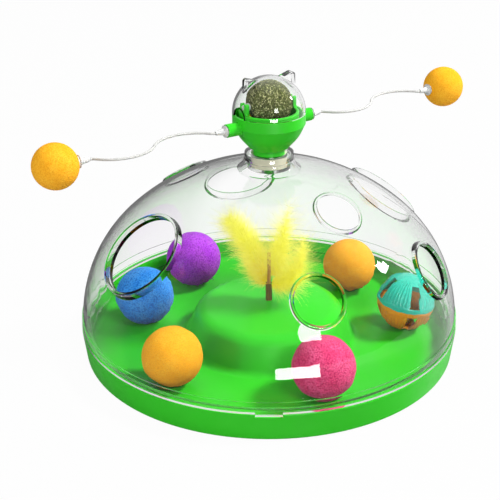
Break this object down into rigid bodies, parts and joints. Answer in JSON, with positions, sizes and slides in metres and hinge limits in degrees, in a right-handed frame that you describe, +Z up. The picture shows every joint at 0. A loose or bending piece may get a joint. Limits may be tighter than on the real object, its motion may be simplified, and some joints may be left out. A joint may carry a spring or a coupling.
{
  "type": "cat puzzle feeder",
  "caption": "Round tray under a clear dome with collared paw holes, loose toy balls and a feather inside, and a spinning turret on top with a catnip ball and ball-tipped wire arms.",
  "frame": {"origin": "on the table, under the middle of the tray", "axes": "+Z up, +X to the right and +Y away from a viewer in front"},
  "size_m": [0.283, 0.2646, 0.1948],
  "materials": {
    "green_plastic": "moulded, soft gloss",
    "dark_green_plastic": "moulded, soft gloss",
    "clear_plastic": "clear, polished",
    "cream_plastic": "moulded, matt",
    "white_plastic": "moulded, soft gloss",
    "wire_white": "coated spring wire",
    "orange_foam": "fine-grained, matt",
    "pressed_catnip": "pressed dry leaf",
    "plush_purple": "short plush",
    "plush_blue": "short plush",
    "plush_pink": "short plush",
    "teal_plastic": "moulded, soft gloss",
    "amber_plastic": "moulded, soft gloss",
    "bell_steel": "plated",
    "screw_steel": "plated",
    "feather_yellow": "dyed down",
    "stick_brown": "matt sleeve",
    "stem_wood": "plain wood",
    "pad_rubber": "matt"
  },
  "bodies": {
    "base": {"base_tray": "green_plastic", "anti_slip_pads": "pad_rubber"},
    "feather": {"feather_sleeve": "stick_brown", "feather_stem": "stem_wood", "plume_left": "feather_yellow", "plume_right": "feather_yellow", "plume_front": "feather_yellow", "plume_rear": "feather_yellow"},
    "dome": {"dome_shell": "clear_plastic", "neck_bush": "cream_plastic"},
    "turret": {"turret_cup": "green_plastic", "ball_cradle": "green_plastic", "thrust_washer": "white_plastic", "spindle_cap": "dark_green_plastic", "spindle_screw": "screw_steel", "arm_plug_left": "white_plastic", "arm_plug_right": "white_plastic", "arm_wire_left": "wire_white", "arm_wire_right": "wire_white", "ball_cap_left": "white_plastic", "ball_cap_right": "white_plastic", "spinner_ball_left": "orange_foam", "spinner_ball_right": "orange_foam"},
    "catnip": {"catnip_ball": "pressed_catnip", "axle_pin_left": "white_plastic", "axle_pin_right": "white_plastic"},
    "cover": {"ear_cover": "clear_plastic"},
    "ball_purple": {"plush_ball_purple": "plush_purple"},
    "ball_blue": {"plush_ball_blue": "plush_blue"},
    "ball_pink": {"plush_ball_pink": "plush_pink"},
    "ball_foam_front": {"foam_ball_front": "orange_foam"},
    "ball_foam_rear": {"foam_ball_rear": "orange_foam"},
    "ball_bell": {"bell_ball_upper": "teal_plastic", "bell_ball_lower": "amber_plastic"},
    "bell": {"jingle_bell": "bell_steel", "bell_pellet": "bell_steel"}
  },
  "joints": [
    {"name": "dome_lift", "type": "slide", "parent": "base", "child": "dome", "axis": [0, 0, 1], "range_m": [0, 0.15]},
    {"name": "turret_spin", "type": "hinge", "parent": "dome", "child": "turret", "pos_m": [0, 0, 0.142], "axis": [0, 0, 1], "continuous": true},
    {"name": "catnip_spin", "type": "hinge", "parent": "turret", "child": "catnip", "pos_m": [0, 0, 0.1758], "axis": [0.8387, 0.5446, 0], "continuous": true},
    {"name": "cover_lift", "type": "slide", "parent": "turret", "child": "cover", "axis": [0, 0, 1], "range_m": [0, 0.045]},
    {"name": "feather_pull", "type": "slide", "parent": "base", "child": "feather", "axis": [0, 0, 1], "range_m": [0, 0.012]},
    {"name": "purple_roll", "type": "hinge", "parent": "base", "child": "ball_purple", "pos_m": [0, 0, 0.024], "axis": [0, 0, 1], "range_deg": [-26, 8]},
    {"name": "blue_roll", "type": "hinge", "parent": "base", "child": "ball_blue", "pos_m": [0, 0, 0.024], "axis": [0, 0, 1], "range_deg": [-8, 15]},
    {"name": "foam_front_roll", "type": "hinge", "parent": "base", "child": "ball_foam_front", "pos_m": [0, 0, 0.024], "axis": [0, 0, 1], "range_deg": [-15, 19]},
    {"name": "pink_roll", "type": "hinge", "parent": "base", "child": "ball_pink", "pos_m": [0, 0, 0.024], "axis": [0, 0, 1], "range_deg": [-19, 23]},
    {"name": "bell_roll", "type": "hinge", "parent": "base", "child": "ball_bell", "pos_m": [0, 0, 0.024], "axis": [0, 0, 1], "range_deg": [-23, 9]},
    {"name": "foam_rear_roll", "type": "hinge", "parent": "base", "child": "ball_foam_rear", "pos_m": [0, 0, 0.024], "axis": [0, 0, 1], "range_deg": [-9, 26]},
    {"name": "bell_swing", "type": "hinge", "parent": "ball_bell", "child": "bell", "pos_m": [0.09881, 0.00864, 0.0243], "axis": [0, 1, 0], "range_deg": [-60, 60]}
  ]
}
